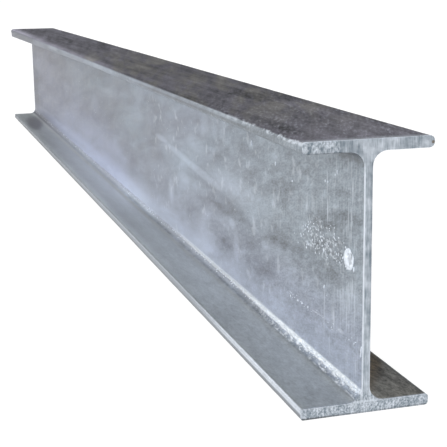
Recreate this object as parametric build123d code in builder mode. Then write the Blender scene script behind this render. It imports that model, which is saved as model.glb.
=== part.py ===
"""Hot-rolled narrow-flange H-beam, 150 x 75 x 5 x 7, lying on its bottom flange.

The beam is one rolled piece. Its frame has +X along the length, +Y across the flanges and +Z up,
with the origin under the middle of the beam, on the underside of the bottom flange. Millimetres.
"""

import os

from build123d import *

# Driving dimensions of the rolled section
DEPTH = 150.0  # overall height, from the underside to the top face
FLANGE_WIDTH = 75.0
WEB_THICKNESS = 5.0
FLANGE_THICKNESS = 7.0
ROOT_RADIUS = 8.0  # fillet where the web runs into a flange
TOE_RADIUS = 2.2  # rounded corners along the tips of the flanges

# The cut piece
LENGTH = 1400.0
END_ROUND = 0.8  # arris of the sawn ends, softened by the zinc coating

# Places that follow from the section
FLANGE_CENTRES = [
    (0, FLANGE_THICKNESS / 2),
    (0, DEPTH - FLANGE_THICKNESS / 2),
]

with BuildPart() as h_beam:
    # The section stands on the plane of one sawn end: its x is the beam's Y, its y is the beam's Z
    with BuildSketch(Plane.YZ.offset(-LENGTH / 2)) as section:
        with Locations((0, DEPTH / 2)):
            Rectangle(WEB_THICKNESS, DEPTH)
        with Locations(*FLANGE_CENTRES):
            Rectangle(FLANGE_WIDTH, FLANGE_THICKNESS)

        # Corners in columns from left to right: left toes, left roots, right roots, right toes
        left_toes, left_roots, right_roots, right_toes = section.vertices().group_by(Axis.X)
        fillet(left_roots + right_roots, ROOT_RADIUS)
        fillet(left_toes + right_toes, TOE_RADIUS)
    extrude(amount=LENGTH)

    # Both sawn ends lose their sharp arris all the way round the section
    ends = h_beam.faces().filter_by(Axis.X).sort_by(Axis.X)
    fillet(ends[0].edges() + ends[-1].edges(), END_ROUND)

h_beam.part.label = "h_beam"

os.makedirs("parts", exist_ok=True)
export_step(h_beam.part, "parts/h_beam.step")
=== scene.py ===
import math
import random

import bmesh
import bpy
import numpy as np
from mathutils import Matrix, Vector


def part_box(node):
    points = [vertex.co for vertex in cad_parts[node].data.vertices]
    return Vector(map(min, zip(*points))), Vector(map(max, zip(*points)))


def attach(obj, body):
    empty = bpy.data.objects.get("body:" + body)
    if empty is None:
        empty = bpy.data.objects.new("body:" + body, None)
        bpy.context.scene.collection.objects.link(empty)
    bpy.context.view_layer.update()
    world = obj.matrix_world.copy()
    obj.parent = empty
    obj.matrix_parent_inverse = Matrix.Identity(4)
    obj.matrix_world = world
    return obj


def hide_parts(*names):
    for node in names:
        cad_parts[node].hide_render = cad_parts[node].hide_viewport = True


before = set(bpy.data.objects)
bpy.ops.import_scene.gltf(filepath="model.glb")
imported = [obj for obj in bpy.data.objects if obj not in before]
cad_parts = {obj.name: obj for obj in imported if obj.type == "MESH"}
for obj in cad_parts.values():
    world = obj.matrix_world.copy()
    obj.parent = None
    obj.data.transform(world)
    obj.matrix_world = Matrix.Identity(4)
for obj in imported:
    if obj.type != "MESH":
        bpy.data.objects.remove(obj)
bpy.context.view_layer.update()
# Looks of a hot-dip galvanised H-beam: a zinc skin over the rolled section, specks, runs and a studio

# The box of the beam comes from the frame, the rest of the section from its rolled size (metres)
(BACK_X, LEFT_Y, FLOOR_Z), (FRONT_X, RIGHT_Y, TOP_Z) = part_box("h_beam")
LENGTH = FRONT_X - BACK_X
WIDTH = RIGHT_Y - LEFT_Y
DEPTH = TOP_Z - FLOOR_Z
WEB = 0.005
FLANGE = 0.007
ROOT_RADIUS = 0.008
END_ROUND = 0.0004

# Rounding of each toe corner: side, height, radius; the upper left one grows towards the back end
UPPER_ROUND = 0.0016
ROUND_GROWTH = 2.5
TOE_ROUNDS = [
    (-1, DEPTH, UPPER_ROUND), (-1, DEPTH - FLANGE, 0.0026), (1, DEPTH, 0.0032), (1, DEPTH - FLANGE, 0.0032),
    (-1, FLANGE, 0.0022), (-1, 0.0, 0.0016), (1, FLANGE, 0.0022), (1, 0.0, 0.0022),
]

# Knocks on the two upper left corners: end, push, reach; and the run of zinc under the far part of that toe
KNOCKS = [(1, (0, 0.0008, 0), 0.009), (-1, (0, 0.0014, 0), 0.020)]
RUN_WIDE = 0.006
RUN_TALL = 0.0015
RUN_DEEP = 0.0055
RUN_LONG = 0.75

# How finely the skin is divided (cuts between the corners of the section and along the length)
ROOT_CELLS = 6
TOE_CELLS = 4
END_CELLS = 3
OVERHANG_CUTS = 9
WEB_CUTS = 41
NEAR_CUTS = 119
FAR_CUTS = 219
NEAR_ZONE = 0.30
SNAP = 1e-5

# What counts as an end, as facing one way, as parallel and as a plain cell when pieces are shaped
END_ZONE = 0.001
FACING = 0.9
PARALLEL = 0.999
MOST_CELL_CORNERS = 8

# Slow waves of the rolled faces and the ripple of the coat: name, size, depth
COAT_WAVES = [("rolling_waves", 0.12, 0.0003), ("coat_ripple", 0.014, 0.00016)]
WAVE_DETAIL = 2
SMOOTH_UNDER = 40

# Camera of the photograph: a picture of 447 x 447 pixels, azimuth 0 looks along +Y
CAMERA_PLACE = (1.2207, -0.2316, 0.2322)
CAMERA_AZIMUTH = 73.64
CAMERA_ELEVATION = 12.56
CAMERA_ROLL = -0.81
SENSOR = 36.0
LENS = 89.47

# Colours of the zinc, linear, and of the light and shade painted on it
WARM_ZINC = (0.260, 0.273, 0.337)
COOL_ZINC = (0.241, 0.281, 0.336)
GREEN_ZINC = (0.250, 0.286, 0.322)
LAVENDER_ZINC = (0.274, 0.300, 0.398)
PEARL_ZINC = (0.277, 0.300, 0.363)
TOE_ZINC = (0.258, 0.285, 0.318)
# Painted light: the upper face of the lower flange is laid down far paler than the web
LIT_FOOT_ZINC = (0.64, 0.675, 0.69)
# Frosted zinc, also used for painted highlights on the toes and on the arrises of the near end
FROST_AND_HIGHLIGHT = (0.74, 0.79, 0.86)
# White zinc of the root crumbs and bead; the bead is partly a painted highlight
SNOW_AND_HIGHLIGHT = (0.86, 0.90, 0.94)
SAWN_ZINC = (0.162, 0.206, 0.245)
DARK_ZINC = (0.185, 0.197, 0.215)
# Painted shade: the upper face is laid down dark in these two
TOP_SHADE_BROWN = (0.118, 0.1135, 0.096)
TOP_SHADE_DUSK = (0.126, 0.1220, 0.146)
# Painted shade in a patch on the back of the left foot
PLUM_SHADE = (0.168, 0.158, 0.195)
# Painted shade on the right foot; the brown is also the colour of the rust speck
SHADE_ZINC = (0.28, 0.27, 0.245)
RUST_AND_SHADE_BROWN = (0.17, 0.125, 0.075)
# Painted shade: near black laid where shade falls, in the upper root, along the toes, the floor edge and the
# right foot's edges, and under the upper flange
SHADE_BLACK = (0.047, 0.049, 0.051)

# Patterns are drawn out lengthwise by the rolls, the more so towards the back end
DRAWN_FROM = 1.45
DRAWN_SHARE = 0.30
DRAWN_LEAN = 0.6
WIPED_SHARE = 0.60

# Clouds of the zinc, from slow to fine: size, detail, roughness, twist
BLOOM = (0.055, 3, 0.5)
TINTS = (0.05, 2)
PATCHES = (0.024, 4, 0.6, 0.5)
MOTTLE = (0.0095, 4, 0.65, 0.4)
FLECKS = (0.0032, 3, 0.62, 0.3)
GRAIN = (0.0011, 2, 0.6)
SMUDGES = (0.020, 3, 0.6, 0.4)
BLOTS = (0.0070, 3, 0.6, 0.4)
SPECKLES = (0.0020, 2, 0.6)

# The same with a size along each of x, y and z
SWELLS = ((0.03, 0.03, 0.03), 2)
SMEARS = ((0.14, 0.010, 0.02), 3, 0.6, 0.4)
DASHES = ((0.010, 0.010, 0.011), 2, 0.6)
SALT_CLOUD = ((0.0032, 0.002, 0.0024), 2, 0.6)
CRUMBS = ((0.0046, 0.0026, 0.0026), 3, 0.62)
SAWN_STREAKS = ((0.01, 0.0010, 0.010), 3, 0.6)
SAWN_SMUDGES = ((0.02, 0.006, 0.007), 2)
SAWN_CRYSTALS = ((0.01, 0.0017, 0.0024), 3, 0.6, 0.5)
SAWN_PEPPER = ((0.01, 0.0010, 0.0011), 3, 0.65)
FROST_GRAIN = ((0.0016, 0.0016, 0.0016), 3, 0.6)

# Middle of a cloud's range, and the least that a tone may fall to
MIDDLE = 0.5
DARKEST = 0.15

# Soft borders of the section's zones: where each starts and where it is full, from its face or edge
SIDE_BORDER = 0.0005
TOP_BORDER = (0.0014, 0.0005)
TOP_WIDENING = 0.0006
FOOT_BORDER = (0.0018, 0.0003)
TOE_BORDER = (0.0024, 0.0009)
SAWN_BORDER = (0.0013, 0.0007)
NEAR_PART = (0.05, 0.60)
FRONT_PART = (0.30, 0.66)

# Gloss of the coat, duller on the upper face, and of the frosted zinc
METAL = 0.7
TOP_LESS_METAL = 0.35
ROUGH = 0.30
ROUGH_MOTTLE = 0.24
TOP_ROUGHER = 0.40
FROST_METAL = 0.25
FROST_ROUGH = 0.30
MILLIMETRE = 0.001

# Bands along the left roots: angle, reach, where they start and end along x, softness, strength. The beads
# are frosted zinc and a painted highlight, the shades and the upper bands are painted shade
ROOT_BEADS_AND_HIGHLIGHTS = [(75, 0.0020, 0.38, 0.46, 0.14, 0.52), (69, 0.0020, 0.62, 1.0, 0.18, 1.0)]
ROOT_SHADES = [
    (58, 0.0034, -1.0, 0.10, 0.14, 0.40), (44, 0.0033, 0.56, 1.0, 0.12, 0.28),
    (44, 0.0033, 0.14, 0.24, 0.07, 0.11), (55, 0.0038, 0.26, 0.50, 0.10, 0.48),
    (12, 0.0085, 0.16, 0.33, 0.08, 0.12),
]
ROOT_CRUMBS = [(53, 0.0033, 0.60, 1.0, 0.12, 1.0)]
UPPER_ROOT_SHADE = [(38, 0.0070, -1.0, 1.0, 0.10, 0.32), (62, 0.0050, 0.675, 1.0, 0.035, 0.20)]

# Marks on the left face of the web: clumps of crystals (x, z, count), a dotted scratch and specks
WEB_FACE = -WEB / 2 + 0.0001
SALT_CLUMPS = [
    (0.6132, 0.0839, 10), (0.6200, 0.0768, 12), (0.6408, 0.0834, 10), (0.6560, 0.0914, 8),
    (0.6648, 0.0887, 4), (0.6409, 0.0763, 8), (0.6607, 0.0786, 8), (0.6694, 0.0801, 8),
    (0.6012, 0.0769, 4), (0.6264, 0.0873, 7), (0.6486, 0.0816, 7),
]
SALT_SPREAD = (0.0050, 0.0018)
SALT_LONG = (0.0003, 0.0006)
SALT_THICK = 0.00016
SALT_TALL = (0.0003, 0.0008)
SALT_TURN = (-0.7, 0.2)
SALT_SEED = 3
SALT_ZONE = (0.638, 0.0825, 0.046, 0.0125, 0.0, 1.0)
SCRATCH_FROM = 0.586
SCRATCH_LONG = 0.105
SCRATCH_Z = 0.0366
SCRATCH_DOTS = 46
SCRATCH_DOT = (0.00010, 0.00032)
SCRATCH_STRETCH = 2
SCRATCH_WANDER = 0.0009
SCRATCH_CROWDING = 1.3
FLATNESS = 0.6
STRAY_SPECKS = [
    (0.5905, 0.1092, 0.0007), (0.6626, 0.1265, 0.0014), (0.6596, 0.1245, 0.0007), (0.6449, 0.1185, 0.0009),
    (0.6490, 0.1188, 0.0007), (0.5093, 0.1214, 0.0020), (0.5589, 0.1148, 0.0016), (0.6755, 0.0869, 0.0008),
    (0.6777, 0.0762, 0.0016), (0.6806, 0.0766, 0.0013), (0.6871, 0.0774, 0.0018), (0.6078, 0.0361, 0.0006),
    (0.6182, 0.0366, 0.0009), (0.5877, 0.0355, 0.0007), (0.6009, 0.0360, 0.0007), (0.6442, 0.0564, 0.0012),
    (0.6980, 0.0345, 0.0036),
]
STRAY_SIZE = (0.0005, 0.0003)
STRAY_TURN = 0.1
SCATTER_COUNT = 260
SCATTER_DOT = (0.0001, 0.00028)
SCATTER_STRETCH = 1.2
SCATTER_MARGIN = 0.002
SCATTER_HEIGHT = (0.018, 0.132)
SPECK_SEED = 5

# Grains in the roots: low or high, side, count; and crystals on the sawn end of the upper flange
ROOT_GRAINS = [(True, 1, 520), (True, -1, 220), (False, -1, 100)]
GRAIN_ANGLE = (66, 6)
GRAIN_DOT = (0.00015, 0.00055)
GRAIN_STRETCH = (1, 2)
GRAIN_WIDE = 0.7
GRAIN_TALL = 0.6
GRAIN_MARGIN = 0.003
GRAIN_CROWDING = 2.2
GRAIN_SEED = 7
END_CRYSTALS = 34
CRYSTAL_SPAN = (LEFT_Y + 0.003, -0.017)
CRYSTAL_DROP = (0.0022, 0.0052)
CRYSTAL_SUNK = 0.0007
CRYSTAL_THICK = 0.00045
CRYSTAL_WIDE = (0.00015, 0.0003)
CRYSTAL_TALL = (0.0004, 0.0014)
CRYSTAL_SEED = 9
BEAD_CELLS = 8
BEAD_RINGS = 5

# Upright hairlines on the same face: x, height, half length, half height, slope, strength
HAIRLINES = [
    (0.6486, 0.1022, 0.0009, 0.0095, 0, 1.0), (0.6784, 0.1026, 0.0008, 0.0090, 0, 1.0),
    (0.6829, 0.1036, 0.0008, 0.0090, 0, 1.0), (0.6843, 0.1200, 0.0016, 0.0090, 0, 0.7),
    (0.6480, 0.1180, 0.0014, 0.0080, 0, 0.5), (0.6776, 0.1340, 0.0014, 0.0060, 0, 0.5),
    (0.6820, 0.1315, 0.0012, 0.0075, 0, 0.5), (0.6444, 0.0415, 0.0012, 0.0220, 0, 0.7),
    (0.6589, 0.0404, 0.0014, 0.0080, 0, 0.8), (0.6525, 0.0240, 0.0010, 0.0095, 0, 0.8),
    (0.6775, 0.0494, 0.0008, 0.0130, 0, 0.9), (0.6852, 0.0666, 0.0012, 0.0070, 0, 0.8),
    (0.6906, 0.0235, 0.0008, 0.0100, 0, 0.8), (0.6932, 0.0260, 0.0006, 0.0110, 0, 0.8),
    (0.5637, 0.0500, 0.0030, 0.0080, 0, 0.6), (0.6826, 0.0935, 0.0007, 0.0035, 1.2, 0.9),
    (0.6877, 0.0905, 0.0007, 0.0040, 1.2, 0.8), (0.6689, 0.0373, 0.0060, 0.0018, 0, 0.7),
    (0.6330, 0.0372, 0.0120, 0.0006, 0.05, 0.9),
]

# The splash of zinc on the web: its place and size, its dish and its lumps
SPLASH_PLACE = (0.6800, WEB_FACE, 0.0815)
SPLASH_SIZE = (0.0066, 0.0011, 0.0060)
SPLASH_DISH = (0.6822, -WEB / 2 - 0.0002, 0.0822)
SPLASH_CELLS = 48
SPLASH_RINGS = 32
SPLASH_LUMPS = 0.0022
SPLASH_ROUGH = 0.0014
DISH_RADIUS = 0.0026
DISH_DEEP = 0.0007
DISH_SOFT = 0.002
DISH_SEEN = (0.0036, 0.0038)

# Soft lights and darks: x, height (or place across), half length, half height, slope, strength
LIGHT_MARKS = [
    (0.245, 0.0892, 0.024, 0.0036, 0.00, 0.9),
    (0.345, 0.0815, 0.115, 0.0046, -0.066, 1.2),
    (0.465, 0.0835, 0.085, 0.0115, 0.00, 1.2),
    (0.360, 0.1000, 0.034, 0.0080, 0.00, 0.6),
    (0.390, 0.1180, 0.014, 0.0150, 0.00, 0.6),
    (0.440, 0.1180, 0.010, 0.0130, 0.00, 0.5),
    (0.325, 0.0655, 0.022, 0.0080, 0.00, 0.9),
    (0.277, 0.0455, 0.012, 0.0150, 0.00, 0.8),
    (0.462, 0.0555, 0.010, 0.0050, 0.00, 1.0),
    (0.472, 0.0390, 0.008, 0.0160, 0.00, 0.8),
    (0.380, 0.0320, 0.032, 0.0100, 0.00, 0.4),
    (0.410, 0.0200, 0.140, 0.0080, 0.00, 0.35),
    (0.085, 0.0170, 0.140, 0.0120, 0.00, 1.0),
    (-0.25, 0.0185, 0.260, 0.0120, 0.00, 0.9),
    (-0.20, 0.0320, 0.300, 0.0300, 0.00, 0.8),
    (-0.10, 0.0850, 0.030, 0.0140, 0.00, 0.5),
    (-0.33, 0.0800, 0.030, 0.0120, 0.00, 0.5),
    # A painted highlight high on the far web
    (-0.50, 0.1370, 0.080, 0.0050, 0.00, 0.9),
    (0.600, 0.0550, 0.060, 0.0200, 0.00, 0.4),
    (0.507, 0.1205, 0.008, 0.0036, 0.00, 0.9),
    (0.530, 0.1280, 0.012, 0.0045, 0.00, 0.8),
    (0.560, 0.1205, 0.010, 0.0036, 0.00, 0.8),
    (0.538, 0.0568, 0.010, 0.0036, 0.00, 0.8),
    (0.660, 0.0340, 0.050, 0.0140, 0.00, 0.55),
    (0.655, 0.1265, 0.055, 0.0070, 0.00, 0.35),
    (0.535, 0.1040, 0.018, 0.0070, 0.00, 0.45),
    (-0.50, 0.0215, 0.200, 0.0085, 0.00, 0.9),
]
DARK_MARKS = [
    (0.465, 0.0640, 0.060, 0.0070, 0.0, 0.9),
    (0.575, 0.0690, 0.045, 0.0070, 0.0, 0.5),
    (0.325, 0.0480, 0.040, 0.0120, 0.0, 0.3),
    (0.447, 0.0410, 0.016, 0.0090, 0.0, 0.7),
    (0.422, 0.0400, 0.028, 0.0130, 0.0, 0.65),
    (0.500, 0.0560, 0.026, 0.0150, 0.0, 0.8),
    (0.620, 0.0645, 0.085, 0.0062, 0.0, 0.65),
    (0.670, 0.0970, 0.045, 0.0130, 0.0, 0.85),
    (0.635, 0.0850, 0.040, 0.0070, 0.0, 0.3),
    (0.430, 0.1060, 0.050, 0.0090, 0.0, 0.6),
    (0.525, 0.0420, 0.040, 0.0130, 0.0, 0.8),
    (0.030, 0.1050, 0.130, 0.0320, 0.0, 0.35),
    (0.560, 0.1000, 0.060, 0.0150, 0.0, 0.5),
    (0.100, 0.0550, 0.110, 0.0200, 0.0, 0.4),
    (-0.67, 0.0750, 0.035, 0.0800, 0.0, 0.7),
]
TOP_LIGHTS = [
    (0.340, -0.0040, 0.060, 0.0140, 0.0, 0.22), (0.690, -0.0270, 0.024, 0.0220, 0.0, 0.42),
    (0.580, 0.0200, 0.035, 0.0120, 0.0, 0.14), (0.640, 0.0020, 0.040, 0.0100, 0.0, 0.16),
]
TOP_DARKS = [
    (-0.320, -0.0050, 0.240, 0.0180, 0.0, 0.40), (0.480, 0.0170, 0.042, 0.0240, 0.0, 0.60),
    (0.470, -0.0280, 0.050, 0.0120, 0.0, 0.12), (0.620, -0.0280, 0.035, 0.0120, 0.0, 0.26),
    (0.160, 0.0040, 0.070, 0.0420, 0.0, 0.24),
]
# A patch of painted shade on the back of the left foot
FOOT_SHADE_PATCH = (-0.57, -0.0200, 0.105, 0.0150, -0.08, 1.0)
FOOT_LIGHT = (-0.06, -0.0200, 0.260, 0.0600, 0.00, 1.0)

# Slow changes of tone: where each starts and is full up the web or across the foot, then along x; strength
# The rows that rise from 0.039 to 0.018 up the web change the low web as painted reflection of the pale foot
WEB_TONES = [
    (0.080, 0.030, -0.65, -0.30, 0.24), (0.080, 0.030, -0.20, 0.20, -0.13), (0.060, 0.110, 0.30, 0.66, 0.05),
    (0.039, 0.018, -0.65, -0.30, 0.42), (0.039, 0.018, -0.30, -0.05, 0.34), (0.039, 0.018, 0.22, 0.47, -0.34),
    (0.039, 0.018, 0.45, 0.62, 0.03), (0.115, 0.138, 0.40, 0.20, 0.05), (0.100, 0.070, -0.25, -0.45, -0.11),
]
FOOT_TONES = [
    (-0.028, -0.035, 0.55, 0.35, 0.16), (-0.028, -0.035, -0.25, -0.10, 0.14),
    (-0.028, -0.035, 0.25, 0.40, -0.14),
]

# Heights of the details on the toes, and how far in from the edges the lower toes reach; the brow, the line
# across the upper toes and the ledge are painted shade, the low crest and the pale spots painted highlights
LOW_TOE = (0.012, 0.009)
LOW_TOE_EDGE = (WIDTH / 2 - 0.0020, WIDTH / 2 - 0.0007)
BROW_SHADE = (TOP_Z - 0.0034, TOP_Z - 0.0014)
FROST_LUMPS = (TOP_Z - 0.0032, TOP_Z - 0.0018)
LOW_CREST_HIGHLIGHT = (0.0042, 0.0056, 0.0013)
PALE_HIGHLIGHTS = (DEPTH - 0.0048, DEPTH - 0.0022, 0.0014)
TOE_SHADE_LINE = (DEPTH - 0.0046, DEPTH - 0.0038, 0.0010)
LEDGE_SHADE = (0.0034, 0.0014)

# Parts of the sawn ends, with painted shade under the upper flange and along the floor, and the painted
# highlights on the arrises of the near one: from, to, softness
UPPER_FLANGE = (DEPTH - 0.014, DEPTH - 0.010)
LOWER_FLANGE = (0.014, 0.010)
UNDERSIDE_SHADE = (DEPTH - FLANGE + 0.0011, DEPTH - FLANGE + 0.0003)
FLOOR_EDGE_SHADE = (0.0017, 0.0008)
LEFT_RIM = (-WEB / 2 - 0.0004, -WEB / 2 + 0.0006, 0.0005)
LEFT_RIM_TALL = (0.012, DEPTH - 0.020, 0.006)
RIGHT_RIM = (WEB / 2 - 0.0006, WEB / 2 + 0.0004, 0.0005)
RIGHT_RIM_TALL = (0.012, 0.040, 0.006)
TOP_RIM = (TOP_Z - 0.0010, TOP_Z - 0.0003)
LOW_RIM = (FLANGE - 0.0006, FLANGE + 0.0003, 0.0004)
NEAR_RIM = (FRONT_X - 0.0016, FRONT_X - 0.0008)

# A rust speck on the near end: place across and up, and how far it reaches, squared
RUST_PLACE = (0.0362, 0.1462)
RUST_REACH = (1.1e-6, 0.3e-6)

# The studio
FLOOR_SIZE = 120.0
FLOOR_WHITE = (0.8, 0.8, 0.8)
GLOW = 1.26
GLOW_SHARE = 0.74
SKY = (0.92, 0.96, 1.0, 1)
SKY_STRENGTH = 0.28
WINDOW_FROM = (0.60, -0.75, 0.28)
WINDOW_STRENGTH = 3.4
WINDOW_SPREAD = 50
DOOR_FROM = (-0.35, 0.85, 0.35)
DOOR_STRENGTH = 1.2
DOOR_SPREAD = 60
PANEL_PLACE = (-3.4, -1.9, 1.1)
PANEL_SIZE = 1.6
PANEL_POWER = 24


class Tone:
    """A number that varies over a surface: arithmetic on tones adds the Math nodes it needs."""

    def __init__(self, finish, socket):
        self.finish = finish
        self.socket = socket

    def math(self, operation, *values):
        return self.finish.node("ShaderNodeMath", {"operation": operation}, dict(enumerate(values)))

    def __add__(self, other):
        return self.math("ADD", self, other)

    def __sub__(self, other):
        return self.math("SUBTRACT", self, other)

    def __rsub__(self, other):
        return self.math("SUBTRACT", other, self)

    def __mul__(self, other):
        return self.math("MULTIPLY", self, other)

    def __truediv__(self, other):
        return self.math("DIVIDE", self, other)

    def __abs__(self):
        return self.math("ABSOLUTE", self)

    __radd__ = __add__
    __rmul__ = __mul__

    def log(self):
        return self.math("LOGARITHM", self, math.e)

    def at_least(self, value):
        return self.math("MAXIMUM", self, value)

    def swing(self, strength):
        """A cloudy pattern as a change either way about its middle."""
        return (self - MIDDLE) * strength

    def between(self, low, high, soft):
        """1 from low to high and 0 outside, with soft edges."""
        return self.rise(low - soft, low) * self.rise(high + soft, high)

    def rise(self, low, high):
        """0 before low and 1 past high, smooth between; with low above high it falls instead."""
        # Smoothstep keeps within 0 and 1 by itself; clamps would overfill the renderer in a large material
        sockets = {"Value": self, "From Min": low, "From Max": high}
        settings = {"interpolation_type": "SMOOTHSTEP", "clamp": False}
        return self.finish.node("ShaderNodeMapRange", settings, sockets)

    def other(self, name):
        """Another output of the same node."""
        return Tone(self.finish, self.socket.node.outputs[name])


class Finish:
    """A material in the making, with the places and patterns that its colours are mixed from."""

    def __init__(self, name):
        self.material = bpy.data.materials.new(name)
        self.material.use_nodes = True
        self.nodes = self.material.node_tree.nodes
        self.links = self.material.node_tree.links
        self.shader = self.nodes["Principled BSDF"]
        self.place = self.node("ShaderNodeTexCoord", output="Object")
        self.x = self.node("ShaderNodeSeparateXYZ", {}, {"Vector": self.place})
        self.y = self.x.other("Y")
        self.z = self.x.other("Z")

    def node(self, kind, settings=None, sockets=None, output=0):
        """Adds a node: its settings first, then the values or links of its sockets."""
        node = self.nodes.new(kind)
        for name, value in (settings or {}).items():
            setattr(node, name, value)
        for name, value in (sockets or {}).items():
            self.feed(node.inputs[name], value)
        return Tone(self, node.outputs[output])

    def feed(self, socket, value):
        if isinstance(value, Tone):
            self.links.new(value.socket, socket)
        else:
            socket.default_value = (*value, 1) if socket.type == "RGBA" else value

    def surface(self, name, value):
        """Feeds one of the shader's own sockets."""
        self.feed(self.shader.inputs[name], value)

    def cloud(self, sizes, detail=2.0, rough=0.55, twist=0.0, place=None):
        """Cloudy noise from 0 to 1 with cells of the given sizes along x, y and z."""
        place = place or self.place
        cells = self.node("ShaderNodeVectorMath", {"operation": "DIVIDE"}, {0: place, 1: sizes})
        sockets = {"Vector": cells, "Scale": 1.0, "Detail": detail, "Roughness": rough, "Distortion": twist}
        return self.node("ShaderNodeTexNoise", {}, sockets)

    def blend(self, share, under, over):
        """One colour laid over another by a share from 0 to 1."""
        return self.node("ShaderNodeMix", {"data_type": "RGBA"}, {0: share, 6: under, 7: over}, output=2)

    def shaded(self, colour, tone):
        """A colour made darker or lighter by a tone."""
        return self.node("ShaderNodeVectorMath", {"operation": "SCALE"}, {0: colour, "Scale": tone})

    def raised(self, height_mm):
        """The surface normal over a relief given in millimetres."""
        return self.node("ShaderNodeBump", {}, {"Height": height_mm, "Distance": MILLIMETRE, "Strength": 1.0})


class ZincCoat(Finish):
    """The coat of the beam: patterns of the zinc at several scales, and the zones of the rolled section."""

    def __init__(self, name):
        super().__init__(name)
        along = (DRAWN_FROM - self.x).log() * -DRAWN_SHARE
        drawn = {"X": along, "Y": self.y, "Z": self.z - along * DRAWN_LEAN}
        self.weave = self.node("ShaderNodeCombineXYZ", {}, drawn)
        wiped = {"X": along * WIPED_SHARE, "Y": self.y + along, "Z": self.z}
        self.wiped = self.node("ShaderNodeCombineXYZ", {}, wiped)
        self.bloom = self.drawn(*BLOOM)
        self.patches = self.drawn(*PATCHES)
        self.mottle = self.drawn(*MOTTLE)
        self.flecks = self.drawn(*FLECKS)
        self.grain = self.drawn(*GRAIN)

        side = abs(self.y)
        self.left = self.y.rise(SIDE_BORDER, -SIDE_BORDER)
        self.near = self.x.rise(*NEAR_PART)
        self.front = self.x.rise(*FRONT_PART)
        top_from = TOP_Z - TOP_BORDER[0] - self.x.rise(0.50, 0.35) * TOP_WIDENING
        self.top = self.z.rise(top_from, TOP_Z - TOP_BORDER[1])
        self.foot = self.z.rise(FLANGE + FOOT_BORDER[0], FLANGE + FOOT_BORDER[1])
        self.toe = side.rise(WIDTH / 2 - TOE_BORDER[0], WIDTH / 2 - TOE_BORDER[1])
        self.sawn = abs(self.x).rise(FRONT_X - SAWN_BORDER[0], FRONT_X - SAWN_BORDER[1])

    def smudged(self, size, *shape):
        """Cloudy noise wiped at a slant over the upper face."""
        return self.cloud((size, size, size), *shape, place=self.wiped)

    def drawn(self, size, *shape):
        """Cloudy noise drawn out lengthwise."""
        return self.cloud((size, size, size), *shape, place=self.weave)

    def root(self, angle, reach, low=True):
        """A lengthwise band in a left root, at an angle from 0 on the flange to 90 on the web."""
        across, height = root_point(angle, low)
        off_y = (self.y - across) / reach
        off_z = (self.z - height) / reach
        return (off_y * off_y + off_z * off_z + self.flecks.swing(1.2)).rise(1.0, 0.15)

    def bands(self, bands, low=True):
        """Several bands in a left root, each over its own part of the length."""
        return sum(self.root(angle, reach, low) * self.x.between(start, end, soft) * strength
                   for angle, reach, start, end, soft, strength in bands)

    def tones(self, rows, across):
        """Slow changes of tone, each over its own part of a face and of the length."""
        return sum(across.rise(start, full) * self.x.rise(start_x, full_x) * strength
                   for start, full, start_x, full_x, strength in rows)

    def hairlines(self, gap, tall, thin):
        """Thin upright lines that wander a little: the level lines of a tall noise."""
        return abs(self.cloud((gap, 0.05, tall), 2, 0.5) - MIDDLE).rise(thin, thin * 0.2)

    def patch(self, mark, wobble, across=None):
        """An uneven oval along a sloping line on the web, or on a flange where the place across is given."""
        x, middle, reach, wide, slope, strength = mark
        along = (self.x - x) / reach
        off = ((across or self.z) - middle - (self.x - x) * slope) / wide
        return (along * along + off * off + wobble).rise(1.1, 0.0) * strength


def edit(piece):
    """Enters edit mode on one piece with nothing else selected."""
    choose(piece)
    bpy.ops.object.mode_set(mode="EDIT")


def choose(piece):
    """Makes one piece the only one that is selected."""
    bpy.ops.object.select_all(action="DESELECT")
    piece.select_set(True)
    bpy.context.view_layer.objects.active = piece


def pick(piece, kind, test):
    """Selects just those corners, edges or faces of the piece in edit mode that pass the test."""
    bpy.ops.mesh.select_mode(type=kind)
    bpy.ops.mesh.select_all(action="DESELECT")
    shape = bmesh.from_edit_mesh(piece.data)
    items = {"VERT": shape.verts, "EDGE": shape.edges, "FACE": shape.faces}[kind]
    for item in items:
        if test(item):
            item.select_set(True)
    bmesh.update_edit_mesh(piece.data)


def runs_along(edge, axis):
    """True where an edge is parallel to the axis 0, 1 or 2."""
    start, end = (corner.co for corner in edge.verts)
    way = (end - start).normalized()
    return abs(way[axis]) > PARALLEL


def middle(edge):
    return (edge.verts[0].co + edge.verts[1].co) / 2


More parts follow.
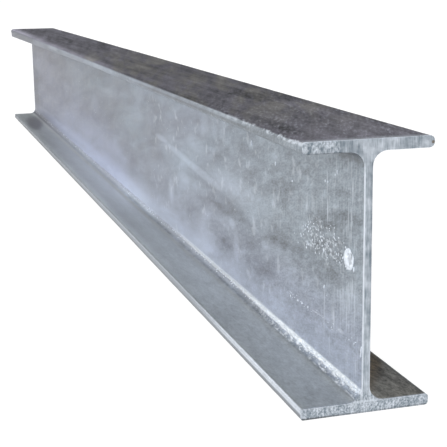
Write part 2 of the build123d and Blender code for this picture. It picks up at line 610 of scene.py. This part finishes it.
def roll_beam():
    """The skin of the beam: a web slab whose flanges are drawn out of its sides, then filleted."""
    bpy.ops.object.select_all(action="DESELECT")
    bpy.ops.mesh.primitive_cube_add(size=1, location=(0, 0, DEPTH / 2))
    beam = bpy.context.object
    beam.name = "galvanised_beam"
    beam.scale = (LENGTH, WEB, DEPTH)
    bpy.ops.object.transform_apply(location=True, rotation=False, scale=True)
    edit(beam)

    # The flanges grow sideways out of the slab's lowest and highest bands
    for height in (FLANGE, DEPTH - FLANGE):
        bpy.ops.mesh.select_all(action="SELECT")
        bpy.ops.mesh.bisect(plane_co=(0, 0, height), plane_no=(0, 0, 1))
    for side in (-1, 1):
        pick(beam, "FACE", lambda face: face.normal.y * side > FACING
             and abs(face.calc_center_median().z - DEPTH / 2) > DEPTH / 2 - FLANGE)
        bpy.ops.mesh.extrude_region_move(TRANSFORM_OT_translate={"value": (0, side * (WIDTH - WEB) / 2, 0)})

    # Each sawn end becomes one face, so that the fillets run out of it cleanly
    pick(beam, "EDGE", lambda edge: all(abs(face.normal.x) > FACING for face in edge.link_faces))
    bpy.ops.mesh.dissolve_edges(use_verts=False)

    # Root fillets and rounded toes
    pick(beam, "EDGE", lambda edge: runs_along(edge, 0) and abs(abs(middle(edge).y) - WEB / 2) < SNAP
         and abs(middle(edge).z - DEPTH / 2) < DEPTH / 2 - SNAP)
    bpy.ops.mesh.bevel(offset=ROOT_RADIUS, segments=ROOT_CELLS, affect="EDGES")
    for side, height, radius in TOE_ROUNDS:
        corner = Vector((0, side * WIDTH / 2, height))
        pick(beam, "EDGE", lambda edge: runs_along(edge, 0) and (middle(edge) - corner).length < SNAP)
        bpy.ops.mesh.bevel(offset=radius, segments=TOE_CELLS, affect="EDGES")
    bpy.ops.object.mode_set(mode="OBJECT")
    return beam


def divide_beam(beam):
    """Divides the skin evenly round the section and along the length, more finely towards the front end."""
    edit(beam)
    half_flat = ROOT_RADIUS + WEB / 2
    pick(beam, "EDGE", lambda edge: runs_along(edge, 2) and edge.calc_length() > DEPTH / 2)
    bpy.ops.mesh.subdivide(number_cuts=WEB_CUTS)
    pick(beam, "EDGE", lambda edge: runs_along(edge, 1) and edge.calc_length() > half_flat)
    bpy.ops.mesh.subdivide(number_cuts=OVERHANG_CUTS)

    split = FRONT_X - NEAR_ZONE
    bpy.ops.mesh.select_all(action="SELECT")
    bpy.ops.mesh.bisect(plane_co=(split, 0, 0), plane_no=(1, 0, 0))
    pick(beam, "EDGE", lambda edge: runs_along(edge, 0) and middle(edge).x < split
         and edge.calc_length() > NEAR_ZONE)
    bpy.ops.mesh.subdivide(number_cuts=FAR_CUTS)
    pick(beam, "EDGE", lambda edge: runs_along(edge, 0) and middle(edge).x > split
         and edge.calc_length() > NEAR_ZONE / 2)
    bpy.ops.mesh.subdivide(number_cuts=NEAR_CUTS)
    bpy.ops.object.mode_set(mode="OBJECT")


def draw_out(beam, strip, move, reach, **settings):
    """Moves the back tip of a lengthwise strip, the rest of the strip following less and less."""
    pick(beam, "VERT", strip)
    bpy.ops.mesh.hide(unselected=True)
    pick(beam, "VERT", lambda corner: not corner.hide and corner.co.x < BACK_X + END_ZONE)
    move(use_proportional_edit=True, proportional_edit_falloff="LINEAR", proportional_size=reach, **settings)
    bpy.ops.mesh.reveal(select=False)


def wear_beam(beam):
    """The upper left toe grows rounder towards the back, with a run of zinc; its corners are knocked."""
    edit(beam)
    draw_out(beam, lambda corner: corner.co.y < LEFT_Y + RUN_WIDE
             and abs(corner.co.z - DEPTH + FLANGE) < RUN_TALL,
             bpy.ops.transform.translate, RUN_LONG, value=(0, 0, -RUN_DEEP))
    draw_out(beam, lambda corner: corner.co.y < LEFT_Y + UPPER_ROUND + SNAP
             and corner.co.z > TOP_Z - UPPER_ROUND - SNAP,
             bpy.ops.transform.resize, LENGTH, value=(1, ROUND_GROWTH, ROUND_GROWTH),
             center_override=(BACK_X, LEFT_Y, TOP_Z))
    for end, push, reach in KNOCKS:
        pick(beam, "VERT", lambda corner: corner.co.x * end > FRONT_X - END_ZONE
             and corner.co.y < LEFT_Y + END_ZONE and corner.co.z > DEPTH / 2)
        bpy.ops.transform.translate(value=push, use_proportional_edit=True, proportional_size=reach)
    bpy.ops.object.mode_set(mode="OBJECT")


def soften_ends(beam):
    """Takes the sharpness off the sawn ends."""
    edit(beam)
    pick(beam, "EDGE", lambda edge: sum(abs(face.normal.x) > FACING for face in edge.link_faces) == 1)
    bpy.ops.mesh.bevel(offset=END_ROUND, segments=END_CELLS, affect="EDGES")
    pick(beam, "FACE", lambda face: abs(face.normal.x) > FACING and len(face.verts) > MOST_CELL_CORNERS)
    bpy.ops.mesh.inset(thickness=END_ROUND)
    bpy.ops.object.mode_set(mode="OBJECT")


def uneven_coat(beam):
    """Slow waves of the faces and the ripple of the coat, always inwards, so the beam keeps its size."""
    choose(beam)
    for name, size, depth in COAT_WAVES:
        pattern = bpy.data.textures.new(name, "CLOUDS")
        pattern.noise_scale = size
        pattern.noise_depth = WAVE_DETAIL
        wave = beam.modifiers.new(name, "DISPLACE")
        wave.texture = pattern
        wave.texture_coords = "LOCAL"
        wave.mid_level = 1.0
        wave.strength = depth
        bpy.ops.object.modifier_apply(modifier=name)


def root_point(angle, low):
    """A point (y, z) on a left root fillet, from 0 degrees on the flange to 90 on the web."""
    across = -(WEB / 2 + ROOT_RADIUS) + ROOT_RADIUS * math.sin(math.radians(angle))
    height = FLANGE + ROOT_RADIUS - ROOT_RADIUS * math.cos(math.radians(angle))
    return across, height if low else DEPTH - height


def salt_crystals():
    """Clumps of salt-like crystals on the web, each a small flat grain turned its own way."""
    chance = random.Random(SALT_SEED)
    grains = []
    for x, z, count in SALT_CLUMPS:
        for _ in range(count):
            place = (chance.gauss(x, SALT_SPREAD[0]), WEB_FACE, chance.gauss(z, SALT_SPREAD[1]))
            size = (chance.uniform(*SALT_LONG), SALT_THICK, chance.uniform(*SALT_TALL))
            grains.append((place, size, chance.uniform(*SALT_TURN)))
    return grains


def web_specks():
    """Other specks on the web: a dotted scratch, single specks and a fine scatter on both sides."""
    chance = random.Random(SPECK_SEED)
    specks = []
    for _ in range(SCRATCH_DOTS):
        x = SCRATCH_FROM + SCRATCH_LONG * chance.random() ** SCRATCH_CROWDING
        size = chance.uniform(*SCRATCH_DOT)
        place = (x, WEB_FACE, SCRATCH_Z + chance.gauss(0, SCRATCH_WANDER))
        specks.append((place, (size * SCRATCH_STRETCH, size * FLATNESS, size), 0.0))
    for x, z, tall in STRAY_SPECKS:
        specks.append(((x, WEB_FACE, z), (*STRAY_SIZE, tall), STRAY_TURN))
    for _ in range(SCATTER_COUNT):
        side = chance.choice((-1, 1))
        x = chance.uniform(BACK_X + SCATTER_MARGIN, FRONT_X - SCATTER_MARGIN)
        size = chance.uniform(*SCATTER_DOT)
        place = (x, side * WEB_FACE, chance.uniform(*SCATTER_HEIGHT))
        specks.append((place, (size * SCATTER_STRETCH, size * FLATNESS, size), 0.0))
    return specks


def root_grains():
    """Granular zinc that gathered along the roots, most of it low on the left side."""
    chance = random.Random(GRAIN_SEED)
    grains = []
    for low, side, count in ROOT_GRAINS:
        for _ in range(count):
            y, z = root_point(chance.gauss(*GRAIN_ANGLE), low)
            size = chance.uniform(*GRAIN_DOT)
            x = FRONT_X - GRAIN_MARGIN - (LENGTH - 2 * GRAIN_MARGIN) * chance.random() ** GRAIN_CROWDING
            stretch = chance.uniform(*GRAIN_STRETCH)
            grains.append(((x, side * y, z), (size * stretch, size * GRAIN_WIDE, size * GRAIN_TALL), 0.0))
    return grains


def end_crystals():
    """Upright crystals on the left part of the upper flange's sawn end, kept inside its plane."""
    chance = random.Random(CRYSTAL_SEED)
    crystals = []
    for _ in range(END_CRYSTALS):
        y = chance.uniform(*CRYSTAL_SPAN)
        place = (FRONT_X - CRYSTAL_SUNK, y, DEPTH - chance.uniform(*CRYSTAL_DROP))
        size = (CRYSTAL_THICK, chance.uniform(*CRYSTAL_WIDE), chance.uniform(*CRYSTAL_TALL))
        crystals.append((place, size, 0.0))
    return crystals


def join_lumps(name, lumps):
    """One mesh of many squashed and turned copies of a single bead."""
    bpy.ops.object.select_all(action="DESELECT")
    bpy.ops.mesh.primitive_uv_sphere_add(segments=BEAD_CELLS, ring_count=BEAD_RINGS, radius=1)
    bead = bpy.context.object
    corners = np.array([corner.co for corner in bead.data.vertices])
    faces = [list(face.vertices) for face in bead.data.polygons]
    bpy.ops.object.delete()
    places = np.array([place for place, size, turn in lumps])
    sizes = np.array([size for place, size, turn in lumps])
    turns = np.array([turn for place, size, turn in lumps])[:, None]
    points = corners[None] * sizes[:, None]
    along = points[:, :, 0] * np.cos(turns) + points[:, :, 2] * np.sin(turns)
    points[:, :, 2] = points[:, :, 2] * np.cos(turns) - points[:, :, 0] * np.sin(turns)
    points[:, :, 0] = along
    points = (points + places[:, None]).reshape(-1, 3)
    rings = [[corner + first * len(corners) for corner in face]
             for first in range(len(lumps)) for face in faces]
    mesh = bpy.data.meshes.new(name)
    mesh.from_pydata(points.tolist(), [], rings)
    piece = bpy.data.objects.new(name, mesh)
    bpy.context.collection.objects.link(piece)
    choose(piece)
    bpy.ops.object.shade_smooth()
    return piece


def zinc_splash():
    """A round splash of zinc on the web: a flat drop, dished right of the middle, with a lumpy rim."""
    bpy.ops.object.select_all(action="DESELECT")
    bpy.ops.mesh.primitive_uv_sphere_add(segments=SPLASH_CELLS, ring_count=SPLASH_RINGS, radius=1)
    splash = bpy.context.object
    splash.name = "zinc_splash"
    bpy.ops.transform.rotate(value=math.radians(90), orient_axis="X", center_override=(0, 0, 0))
    bpy.ops.object.transform_apply(location=False, rotation=True, scale=False)
    splash.scale = SPLASH_SIZE
    splash.location = SPLASH_PLACE
    bpy.ops.object.transform_apply(location=True, rotation=False, scale=True)
    x, y, z = SPLASH_DISH
    edit(splash)
    pick(splash, "VERT", lambda corner: corner.co.y < y
         and math.hypot(corner.co.x - x, corner.co.z - z) < DISH_RADIUS)
    bpy.ops.transform.translate(value=(0, DISH_DEEP, 0), use_proportional_edit=True,
                                proportional_size=DISH_SOFT)
    bpy.ops.object.mode_set(mode="OBJECT")
    pattern = bpy.data.textures.new("splash_lumps", "CLOUDS")
    pattern.noise_scale = SPLASH_LUMPS
    rough = splash.modifiers.new("splash_lumps", "DISPLACE")
    rough.texture = pattern
    rough.texture_coords = "LOCAL"
    rough.strength = SPLASH_ROUGH
    choose(splash)
    bpy.ops.object.modifier_apply(modifier="splash_lumps")
    bpy.ops.object.shade_smooth()
    return splash


def web_colour(coat):
    """Cloudy blue-grey zinc, lavender low down, with the drain lines, lights and darks of the left face."""
    x, z = coat.x, coat.z
    wobble = coat.patches.swing(1.8) + coat.mottle.swing(1.6)
    light = sum(coat.patch(mark, wobble) for mark in LIGHT_MARKS) * coat.left
    dark = sum(coat.patch(mark, wobble) for mark in DARK_MARKS) * coat.left
    lavender = (z - x.rise(0.25, -0.25) * 0.030).rise(0.080, 0.030) * z.rise(0.009, 0.014)
    tone = 0.98 + coat.bloom.swing(0.60)
    tone = tone + coat.patches.swing(1.2 + coat.near * 0.7 - coat.front * 1.1)
    tone = tone + coat.mottle.swing(0.6 + coat.near * 0.3)
    tone = tone + coat.flecks.swing(0.10 + coat.near * 0.2 + coat.front * 0.75)
    tone = tone + coat.grain.swing(0.05 + coat.near * 0.1 + coat.front * 0.90)
    tone = tone + light * (0.14 + coat.mottle * 0.40) - dark * 0.24
    tone = tone + coat.tones(WEB_TONES, z)
    tint = coat.drawn(*TINTS).rise(0.35, 0.65) * 0.4 + 0.6
    colour = coat.blend(tint * x.rise(-0.55, -0.15), WARM_ZINC, COOL_ZINC)
    colour = coat.blend(coat.front * z.rise(0.035, 0.065), colour, GREEN_ZINC)
    pearl = coat.blend(x.rise(0.0, 0.20), LAVENDER_ZINC, PEARL_ZINC)
    colour = coat.blend(lavender * (0.85 - x.rise(-0.1, 0.30) * 0.15), colour, pearl)
    colour = coat.shaded(colour, tone * (0.635 + x.rise(-0.45, 0.50) * 0.405 - coat.front * 0.03))

    dashes = coat.cloud(*DASHES).rise(0.58, 0.72) * x.between(0.25, 0.60, 0.10)
    lines = coat.hairlines(0.008, 0.10, 0.03) * coat.patches.rise(0.44, 0.60) * x.rise(0.50, 0.66) * 0.7
    lines = lines + coat.hairlines(0.004, 0.06, 0.04) * coat.mottle.rise(0.46, 0.60) * x.rise(0.62, 0.68)
    marks = sum(coat.patch(line, coat.grain.swing(0.8)) for line in HAIRLINES) * coat.left
    colour = coat.blend(dashes * 0.25 + lines * 0.25 + marks * 0.42, colour, FROST_AND_HIGHLIGHT)

    crystals = coat.cloud(*SALT_CLOUD)
    salt = coat.patch(SALT_ZONE, wobble) * coat.left
    colour = coat.blend(salt * crystals.rise(0.47, 0.37) * 0.45, colour, DARK_ZINC)
    return coat.blend(salt * crystals.rise(0.53, 0.63) * 0.55, colour, FROST_AND_HIGHLIGHT)


def foot_colour(coat):
    """Upper faces of the lower flange: smooth zinc on the left, made pale as painted light, with a patch of
    painted shade at the back; painted shade in brown and grey on the right, darkest along its edges.
    """
    x, y = coat.x, coat.y
    wobble = coat.patches.swing(1.2)
    tone = 0.85 - x.between(0.18, 0.50, 0.10) * 0.035
    tone = tone + coat.bloom.swing(0.22) + coat.patches.swing(0.32) + coat.mottle.swing(0.40)
    tone = tone + (coat.flecks.swing(0.5) + coat.grain.swing(0.4)) * coat.near
    tone = tone + coat.tones(FOOT_TONES, y) + coat.patch(FOOT_LIGHT, wobble, y) * 0.12
    # Painted light: the left foot made pale
    pale = coat.shaded(LIT_FOOT_ZINC, tone)
    # Painted shade in a patch near the back end
    pale = coat.blend(coat.patch(FOOT_SHADE_PATCH, wobble, y) * 0.66, pale, PLUM_SHADE)

    mottled = 0.90 + coat.patches.swing(1.2) + coat.mottle.swing(1.6) + coat.flecks.swing(2.0)
    mottled = mottled + coat.grain.swing(1.6)
    # Painted shade on the right foot, brown, turning grey at the front end
    right_shade = coat.blend((x + y * 1.6 + coat.mottle.swing(0.02)).rise(0.690, 0.710), RUST_AND_SHADE_BROWN, SHADE_ZINC)
    right_shade = coat.shaded(right_shade, mottled.at_least(DARKEST))
    # Darker painted shade along the web root and the toe of the right foot
    edges = y.rise(WIDTH / 2 - 0.005, WIDTH / 2 - 0.002) + y.rise(0.010, 0.005)
    right_shade = coat.blend(edges * 0.65, right_shade, SHADE_BLACK)
    return coat.blend(coat.left, right_shade, pale)


def top_colour(coat, specks):
    """Upper face darkened as painted shade: plum and brown smudges, lengthwise smears and frosty specks
    towards the front.
    """
    x, y = coat.x, coat.y
    smears = coat.cloud(*SMEARS)
    smudges = coat.smudged(*SMUDGES)
    blots = coat.smudged(*BLOTS)
    lively = 1 + x.rise(0.10, 0.30) * 0.10
    wobble = smudges.swing(2.0)
    marks = sum(coat.patch(mark, wobble, y) for mark in TOP_LIGHTS)
    marks = marks - sum(coat.patch(mark, wobble, y) for mark in TOP_DARKS)
    brown = smudges.rise(0.42, 0.60) * x.rise(0.72, 0.50) * x.rise(-0.2, 0.15) * 0.65
    # Painted shade: the upper face laid down dark, plum with brown smudges
    colour = coat.blend(brown, TOP_SHADE_DUSK, TOP_SHADE_BROWN)
    tone = 1.00 + (smears.swing(1.6) + smudges.swing(2.1) + blots.swing(1.2)) * lively
    tone = tone + specks.swing(0.13 + x.rise(0.10, 0.30) * 0.2 + coat.front * 1.3)
    tone = tone + coat.front * 0.15 + marks * 0.7
    # Lighter towards the left edge of the upper face, most about the middle of the length, less at the back
    # and none at the front
    lighter_left_edge = (y + x.rise(0.10, 0.30) * 0.003).rise(-0.025, -0.036) * x.rise(0.38, 0.06)
    lighter_left_edge = lighter_left_edge * (0.85 + x.between(-0.20, 0.20, 0.10) * 0.40 - x.rise(-0.30, -0.45) * 0.40)
    tone = tone + lighter_left_edge
    tone = tone + y.rise(-0.017, -0.0365) * x.rise(-0.20, -0.60) * 2.0 - x.between(0.40, 0.50, 0.05) * 0.08
    colour = coat.shaded(colour, tone.at_least(DARKEST))
    frost = specks.rise(0.50, 0.74) * blots.rise(0.40, 0.58) * x.rise(0.35, 0.68) * 0.17
    frost = frost + x.rise(FRONT_X - 0.010, FRONT_X - 0.001) * (0.12 + coat.flecks * 0.3)
    return coat.blend(frost, colour, FROST_AND_HIGHLIGHT)


def end_colour(coat):
    """Sawn ends: smooth blue-grey with upright streaks, coarse crystals upper left, fine pepper below, and
    painted shade along the floor edge and under the upper flange.
    """
    y, z = coat.y, coat.z
    upper = z.rise(*UPPER_FLANGE)
    lower = z.rise(*LOWER_FLANGE)
    streaks = coat.cloud(*SAWN_STREAKS)
    smudges = coat.cloud(*SAWN_SMUDGES)
    crystals = coat.cloud(*SAWN_CRYSTALS)
    pepper = coat.cloud(*SAWN_PEPPER)
    grit = pepper.swing(1.6) + crystals.swing(0.9) + y.rise(-0.012, -0.004) * 0.04 - 0.03
    share = 0.47 + streaks.swing(0.8) + smudges.swing(0.9) + lower * (grit - y.rise(0.0, 0.02) * 0.06)
    share = share + upper * y.rise(-0.012, -0.020) * (crystals.swing(2.0) + 0.03)
    pale_middle = y.between(0.0, 0.013, 0.006) * 0.13 - 0.02 - y.between(-0.016, -0.008, 0.003) * 0.08
    share = share + upper * pale_middle
    share = share - (1 - upper) * (1 - lower) * y.rise(0.0006, 0.0018) * 0.10
    colour = coat.blend(share.rise(0.0, 1.0), SAWN_ZINC, FROST_AND_HIGHLIGHT)
    # Painted shade under the upper flange near the end
    under = z.rise(*UNDERSIDE_SHADE) * upper * y.rise(-0.010, -0.016) * 0.5
    # Painted shade along the floor edge, darker to the left
    return coat.blend(z.rise(*FLOOR_EDGE_SHADE) * (0.35 + y.rise(0.0, -0.03) * 0.4) + under, colour, SHADE_BLACK)


def toe_colour(coat, colour):
    """Toes: like the web above, neutral below, with frosty lumps on the upper arrises at the front, painted
    highlights on the lower crests and in pale spots, and painted shade dimming the upper toes and along dark
    edges and lines.
    """
    x, z = coat.x, coat.z
    lower = z.rise(*LOW_TOE)
    low_toe = lower * abs(coat.y).rise(*LOW_TOE_EDGE)
    grey = coat.shaded(TOE_ZINC, (0.58 + x.rise(-0.5, 0.25) * 0.42) * (0.8 + coat.mottle * 0.4))
    # Painted shade dims the upper toes, most at the back end, less at the front, and near their upper arris
    upper_toe_shade = x.rise(-0.1, 0.3) * 0.14 + x.rise(-0.32, -0.52) * 0.27
    upper_toe_shade = upper_toe_shade + z.rise(*BROW_SHADE) * x.between(0.0, 0.42, 0.12) * 0.12
    colour = coat.shaded(colour, 1 - coat.toe * (1 - lower) * upper_toe_shade)
    colour = coat.blend(low_toe, colour, grey)
    lumps = coat.flecks.rise(0.48, 0.62) * x.rise(0.52, 0.68) * z.rise(*FROST_LUMPS) * 0.6
    # Painted highlight along the rounding of the lower toes, strongest at the front
    low_crest_highlight = lower * z.between(*LOW_CREST_HIGHLIGHT) * (0.10 + x.rise(0.45, 0.62) * 0.66)
    # Painted highlights in two pale spots on the upper left toe
    pale_highlights = x.between(-0.215, -0.175, 0.035) * 0.15 + x.between(0.112, 0.142, 0.020) * 0.12
    pale_highlights = pale_highlights * z.between(*PALE_HIGHLIGHTS) * coat.left
    lumps_and_highlights = low_crest_highlight * (0.6 + coat.flecks * 0.8) + lumps + pale_highlights
    colour = coat.blend(coat.toe * lumps_and_highlights, colour, FROST_AND_HIGHLIGHT)
    # Painted shade along the bottom of the lower toes, and in a thin line across the upper toes
    ledge_shade = z.rise(*LEDGE_SHADE) * (0.65 - coat.near * 0.25)
    toe_shade_line = z.between(*TOE_SHADE_LINE) * x.rise(0.15, 0.42) * x.rise(0.66, 0.58) * 0.40
    return coat.blend(coat.toe * (ledge_shade + toe_shade_line), colour, SHADE_BLACK)


def galvanised_zinc():
    """Dull mottled zinc: a cloudy web, a mottled top darkened as painted shade, frosted arrises and roots
    with painted highlights, painted shade in the roots and toes, speckled sawn ends.
    """
    coat = ZincCoat("galvanised_zinc")
    x, y, z = coat.x, coat.y, coat.z
    specks = coat.smudged(*SPECKLES)
    colour = coat.blend(coat.foot, web_colour(coat), foot_colour(coat))
    colour = coat.blend(coat.top, colour, top_colour(coat, specks))

    # The roots: a frosted bead low on the left that is partly a painted highlight, brightest at the front,
    # painted shade beside it, and painted shade in the upper root
    # Frosted zinc and a painted highlight along the low left root
    bead = coat.bands(ROOT_BEADS_AND_HIGHLIGHTS)
    crumbs = coat.cloud(*CRUMBS).rise(0.46, 0.58) * coat.bands(ROOT_CRUMBS)
    # Painted shade along the low left root, beside the bead and on the foot
    colour = coat.shaded(colour, 1 - coat.bands(ROOT_SHADES))
    # Painted shade in the upper left root
    colour = coat.blend(coat.bands(UPPER_ROOT_SHADE, low=False), colour, SHADE_BLACK)
    colour = coat.blend(crumbs * 0.46, colour, SNOW_AND_HIGHLIGHT)
    colour = coat.blend(bead * (0.55 + coat.flecks * 0.9), colour, SNOW_AND_HIGHLIGHT)
    colour = toe_colour(coat, colour)

    # Sawn ends, and the painted highlights on the arrises of the near one
    colour = coat.blend(coat.sawn, colour, end_colour(coat))
    web_rim_highlight = y.between(*LEFT_RIM) * z.between(*LEFT_RIM_TALL) * 0.85
    web_rim_highlight = web_rim_highlight + y.between(*RIGHT_RIM) * z.between(*RIGHT_RIM_TALL) * 0.7
    flange_rim_highlight = z.rise(*TOP_RIM) * 0.5 + z.between(*LOW_RIM) * 0.5
    off_y = y - RUST_PLACE[0]
    off_z = z - RUST_PLACE[1]
    rust = (off_y * off_y + off_z * off_z).rise(*RUST_REACH) * coat.sawn * x.rise(0, 0.1)
    colour = coat.blend(rust * 0.8, colour, RUST_AND_SHADE_BROWN)
    # Painted highlights along the arrises of the near end
    rim_highlights = (web_rim_highlight + flange_rim_highlight) * x.rise(*NEAR_RIM)
    colour = coat.blend(rim_highlights * (0.6 + coat.flecks * 0.6), colour, FROST_AND_HIGHLIGHT)

    relief = coat.mottle * 0.20 + coat.flecks * 0.12 + coat.grain * 0.05
    relief = relief + coat.cloud(*SWELLS) * 0.35 + coat.top * coat.front * specks * 0.4
    relief = relief + coat.sawn * coat.flecks * 0.25 + bead * coat.flecks.swing(0.9) + crumbs * 0.25
    coat.surface("Base Color", colour)
    coat.surface("Metallic", METAL - coat.top * TOP_LESS_METAL)
    coat.surface("Roughness", ROUGH + coat.mottle * ROUGH_MOTTLE + coat.top * TOP_ROUGHER)
    coat.surface("Normal", coat.raised(relief))
    return coat.material


def frosted_zinc():
    """Bright crystalline zinc of the specks, grains and the splash, which is greyer in its dish."""
    frost = Finish("frosted_zinc")
    grain = frost.cloud(*FROST_GRAIN)
    x, _, z = SPLASH_DISH
    off_x = (frost.x - x) / DISH_SEEN[0]
    off_z = (frost.z - z) / DISH_SEEN[1]
    dish = (off_x * off_x + off_z * off_z + grain.swing(2)).rise(1.1, 0.3)
    frost.surface("Base Color", frost.shaded(FROST_AND_HIGHLIGHT, (0.65 + grain * 0.7) * (1 - dish * 0.30)))
    frost.surface("Metallic", FROST_METAL)
    frost.surface("Roughness", FROST_ROUGH + grain * 0.3)
    frost.surface("Normal", frost.raised(grain * 0.4))
    return frost.material


def white_floor():
    """A matt white floor that keeps soft shadows and looks white to the eye and in the metal."""
    bpy.ops.object.select_all(action="DESELECT")
    bpy.ops.mesh.primitive_plane_add(size=FLOOR_SIZE, location=(0, 0, FLOOR_Z))
    floor = bpy.context.object
    floor.name = "floor"
    paper = Finish("white_floor")
    paper.surface("Base Color", FLOOR_WHITE)
    paper.surface("Roughness", 1.0)
    paper.surface("Specular IOR Level", 0.0)
    ray = paper.node("ShaderNodeLightPath", output="Is Camera Ray")
    seen = ray + ray.other("Is Glossy Ray") + ray.other("Is Transmission Ray")
    glow = paper.node("ShaderNodeEmission", {}, {"Strength": GLOW})
    matt = Tone(paper, paper.shader.outputs[0])
    both = paper.node("ShaderNodeMixShader", {}, {0: seen * GLOW_SHARE, 1: matt, 2: glow})
    paper.feed(paper.nodes["Material Output"].inputs["Surface"], both)
    floor.data.materials.append(paper.material)


def light_studio():
    """Soft daylight from the left of the camera, less from the back right, a pale panel and a dim room."""
    world = bpy.data.worlds.new("studio")
    bpy.context.scene.world = world
    world.use_nodes = True
    room = world.node_tree.nodes["Background"]
    room.inputs["Color"].default_value = SKY
    room.inputs["Strength"].default_value = SKY_STRENGTH

    for name, way, strength, spread in (("window", WINDOW_FROM, WINDOW_STRENGTH, WINDOW_SPREAD),
                                        ("door", DOOR_FROM, DOOR_STRENGTH, DOOR_SPREAD)):
        lamp = bpy.data.objects.new(name, bpy.data.lights.new(name, "SUN"))
        lamp.data.energy = strength
        lamp.data.angle = math.radians(spread)
        lamp.rotation_euler = Vector(way).to_track_quat("Z", "Y").to_euler()
        bpy.context.collection.objects.link(lamp)

    panel = bpy.data.objects.new("panel", bpy.data.lights.new("panel", "AREA"))
    panel.data.energy = PANEL_POWER
    panel.data.size = PANEL_SIZE
    panel.location = PANEL_PLACE
    panel.rotation_euler = Vector(PANEL_PLACE).to_track_quat("Z", "Y").to_euler()
    bpy.context.collection.objects.link(panel)


def place_camera():
    """The photograph's view: from the front left, a little above the beam."""
    camera = bpy.data.objects.new("camera", bpy.data.cameras.new("camera"))
    camera.data.sensor_width = SENSOR
    camera.data.lens = LENS
    turn = Matrix.Rotation(math.radians(CAMERA_AZIMUTH), 4, "Z")
    tilt = Matrix.Rotation(math.radians(90 - CAMERA_ELEVATION), 4, "X")
    roll = Matrix.Rotation(math.radians(CAMERA_ROLL), 4, "Z")
    camera.matrix_world = Matrix.Translation(CAMERA_PLACE) @ turn @ tilt @ roll
    bpy.context.collection.objects.link(camera)
    bpy.context.scene.camera = camera


beam = roll_beam()
divide_beam(beam)
wear_beam(beam)
soften_ends(beam)
uneven_coat(beam)
choose(beam)
bpy.ops.object.shade_smooth_by_angle(angle=math.radians(SMOOTH_UNDER))
beam.data.materials.append(galvanised_zinc())
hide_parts("h_beam")

specks = join_lumps("zinc_specks", salt_crystals() + web_specks() + root_grains() + end_crystals())
splash = zinc_splash()
frosted = frosted_zinc()
for piece in (specks, splash):
    piece.data.materials.append(frosted)
for piece in (beam, specks, splash):
    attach(piece, "root")

white_floor()
light_studio()
place_camera()
bpy.context.scene.view_settings.view_transform = "Standard"
